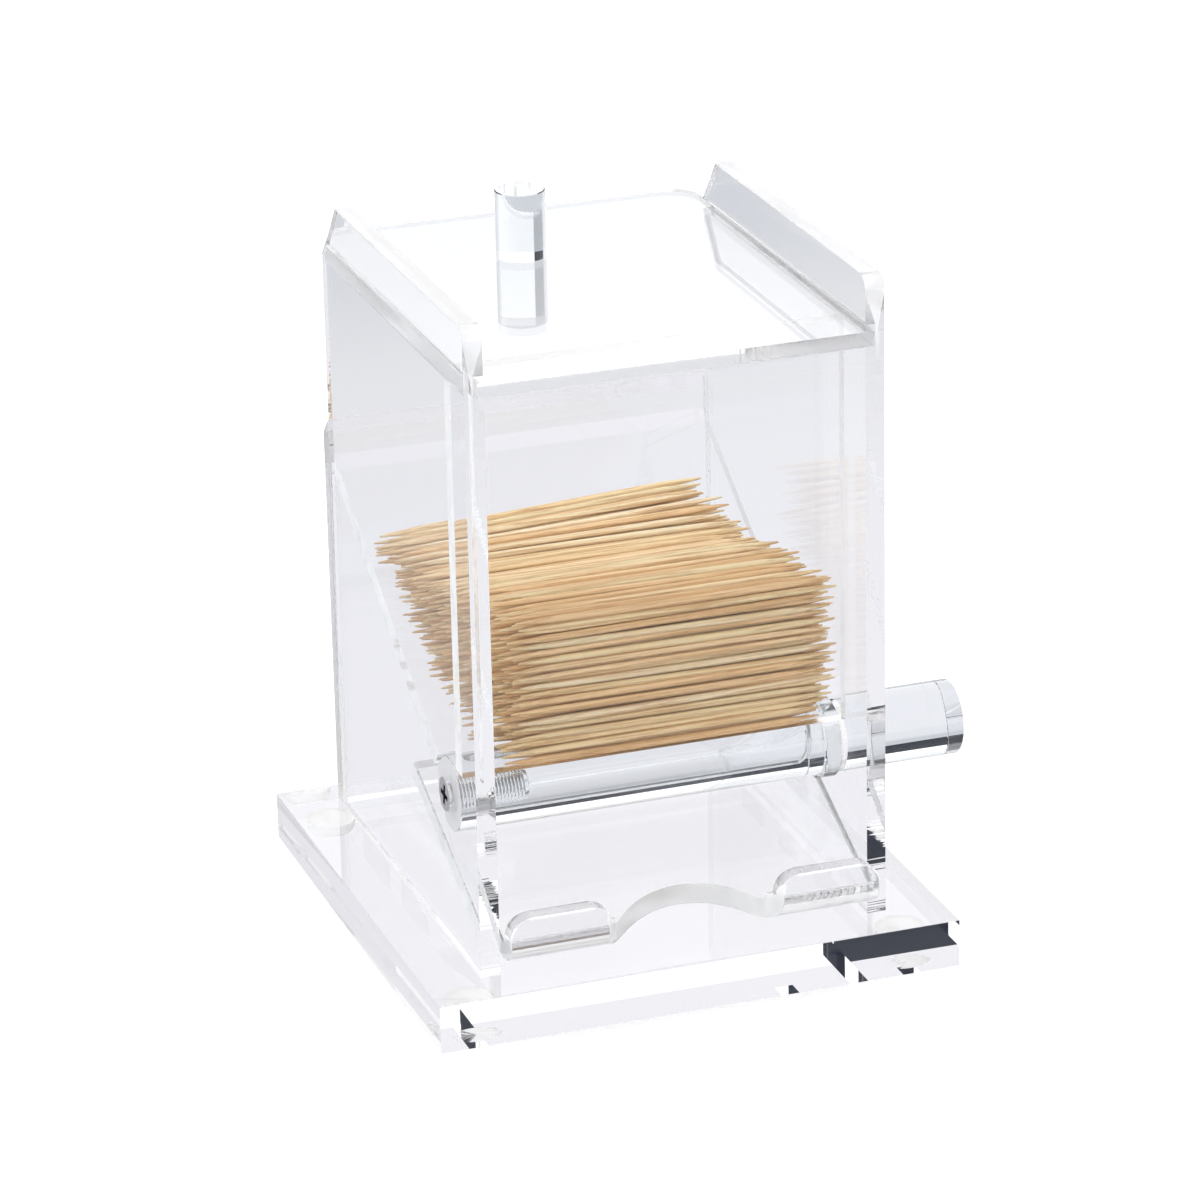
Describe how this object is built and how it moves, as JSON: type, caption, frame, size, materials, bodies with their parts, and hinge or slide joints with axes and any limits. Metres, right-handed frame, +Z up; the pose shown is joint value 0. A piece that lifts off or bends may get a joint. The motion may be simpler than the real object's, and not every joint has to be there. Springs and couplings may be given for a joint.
{
  "type": "toothpick dispenser",
  "caption": "Clear sheet hopper on a thick base plate; a turned roller under it brings toothpicks to a sloping tray, with a side handle and a lid that slides out.",
  "frame": {"origin": "middle of the base plate's outline on the surface that the feet stand on", "axes": "+X to the side with the roller's handle, +Y to the back, +Z up"},
  "size_m": [0.1175, 0.111, 0.1466],
  "materials": {
    "base_acrylic": "clear cast acrylic, polished faces and edges",
    "sheet_acrylic": "clear acrylic sheet, flame-polished edges",
    "rod_acrylic": "clear acrylic rod, polished",
    "lid_acrylic": "clear acrylic sheet, polished edges",
    "bumper": "clear soft bumper",
    "screw_steel": "bright plated steel",
    "toothpick_wood": "plain birch or bamboo, unfinished"
  },
  "bodies": {
    "frame": {"base_plate": "base_acrylic", "foot_front_left": "bumper", "foot_front_right": "bumper", "foot_back_left": "bumper", "foot_back_right": "bumper", "left_side_panel": "sheet_acrylic", "right_side_panel": "sheet_acrylic", "front_panel": "sheet_acrylic", "back_panel": "sheet_acrylic", "hopper_ramp": "sheet_acrylic", "tray": "sheet_acrylic", "toothpicks": "toothpick_wood"},
    "roller": {"roller": "rod_acrylic", "roller_collar": "rod_acrylic", "roller_screw": "screw_steel"},
    "lid": {"lid": "lid_acrylic", "lid_knob": "rod_acrylic"}
  },
  "joints": [
    {"name": "roller_turn", "type": "hinge", "parent": "frame", "child": "roller", "pos_m": [0, -0.0252, 0.04235], "axis": [1, 0, 0], "continuous": true},
    {"name": "lid_slide", "type": "slide", "parent": "frame", "child": "lid", "axis": [0, 1, 0], "range_m": [0, 0.105]}
  ]
}
